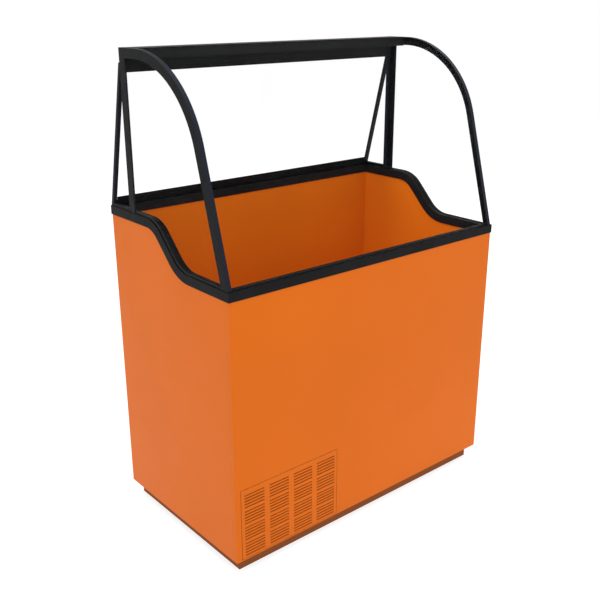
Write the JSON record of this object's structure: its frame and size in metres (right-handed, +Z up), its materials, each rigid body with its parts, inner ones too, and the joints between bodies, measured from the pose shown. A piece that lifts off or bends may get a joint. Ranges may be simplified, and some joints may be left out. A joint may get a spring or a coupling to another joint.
{
  "type": "ice-cream dipping cabinet",
  "caption": "Open-topped freezer cabinet with S-curved sides, black rim, clear curved canopy on black arches, louvred front grille and sliding rear doors.",
  "frame": {"origin": "on the floor under the centre of the cabinet", "axes": "front faces -Y, +X is to the right seen from the front, +Z is up"},
  "size_m": [1.193, 0.671, 1.62],
  "materials": {
    "orange_enamel": "satin",
    "orange_lining": "satin",
    "plinth_enamel": "matte",
    "black_trim": "satin",
    "black_enamel": "satin",
    "clear_glass": "polished",
    "clear_acrylic": "polished",
    "galvanised": "satin",
    "foam": "matte",
    "seal_rubber": "matte",
    "coil_aluminium": "satin",
    "copper": "satin",
    "compressor_black": "satin",
    "machine_steel": "satin",
    "black_plastic": "satin",
    "lamp_white": "satin",
    "lamp_aluminium": "satin",
    "screw_steel": "satin",
    "drain_plastic": "gloss"
  },
  "bodies": {
    "cabinet": {"plinth_rails": "plinth_enamel", "base_pan": "galvanised", "machine_bay_lining": "galvanised", "front_panel": "orange_enamel", "side_panel_left": "orange_enamel", "side_panel_right": "orange_enamel", "rear_panel": "orange_enamel", "rear_cover": "orange_enamel", "front_grille": "orange_enamel", "tank_front_wall": "orange_lining", "tank_rear_wall": "orange_lining", "tank_left_wall": "orange_lining", "tank_right_wall": "orange_lining", "tank_floor": "orange_lining", "tank_step_wall": "orange_lining", "tank_step_top": "orange_lining", "foam_insulation": "foam", "evaporator_coil": "coil_aluminium", "condenser_coil": "coil_aluminium", "rim_front": "black_trim", "rim_rear": "black_trim", "rim_left": "black_trim", "rim_right": "black_trim", "door_track_bottom": "black_trim", "door_track_top": "black_trim", "arch_left": "black_enamel", "arch_right": "black_enamel", "post_left": "black_enamel", "post_right": "black_enamel", "brace_left": "black_enamel", "brace_right": "black_enamel", "side_sills": "black_enamel", "header_channel": "black_enamel", "lamp_housing": "lamp_aluminium", "lamp_diffuser": "lamp_white", "front_glass": "clear_glass", "side_glass_left": "clear_glass", "side_glass_right": "clear_glass", "glass_seals": "seal_rubber", "compressor_grommets": "seal_rubber", "compressor_shell": "compressor_black", "compressor_pump": "machine_steel", "fan_shroud": "machine_steel", "thermostat_body": "machine_steel", "fan_motor": "machine_steel", "filter_drier": "copper", "refrigerant_lines": "copper", "electrical_box": "black_plastic", "control_panel": "black_plastic", "switch_housings": "black_plastic", "power_inlet": "black_plastic", "drain_tube": "drain_plastic", "panel_screws": "screw_steel"},
    "left_door": {"door_left": "clear_acrylic"},
    "right_door": {"door_right": "clear_acrylic"},
    "condenser_fan": {"fan_blade": "black_plastic"},
    "knob": {"thermostat_knob": "black_plastic"},
    "power_switch": {"power_rocker": "black_plastic"},
    "lamp_switch": {"lamp_rocker": "black_plastic"},
    "plug": {"drain_plug": "seal_rubber"}
  },
  "joints": [
    {"name": "left_door_slide", "type": "slide", "parent": "cabinet", "child": "left_door", "axis": [1, 0, 0], "range_m": [0, 0.54]},
    {"name": "right_door_slide", "type": "slide", "parent": "cabinet", "child": "right_door", "axis": [-1, 0, 0], "range_m": [0, 0.54]},
    {"name": "fan_spin", "type": "hinge", "parent": "cabinet", "child": "condenser_fan", "pos_m": [-0.3775, -0.241, 0.1875], "axis": [0, 1, 0], "continuous": true},
    {"name": "thermostat_turn", "type": "hinge", "parent": "cabinet", "child": "knob", "pos_m": [-0.31, 0.2923, 0.253], "axis": [0, -1, 0], "range_deg": [0, 300]},
    {"name": "power_rocker_tilt", "type": "hinge", "parent": "cabinet", "child": "power_switch", "pos_m": [-0.262, 0.2861, 0.272], "axis": [1, 0, 0], "range_deg": [0, 18]},
    {"name": "lamp_rocker_tilt", "type": "hinge", "parent": "cabinet", "child": "lamp_switch", "pos_m": [-0.228, 0.2861, 0.272], "axis": [1, 0, 0], "range_deg": [0, 18]},
    {"name": "drain_plug_pull", "type": "slide", "parent": "cabinet", "child": "plug", "axis": [0, 0, 1], "range_m": [0, 0.03]}
  ]
}
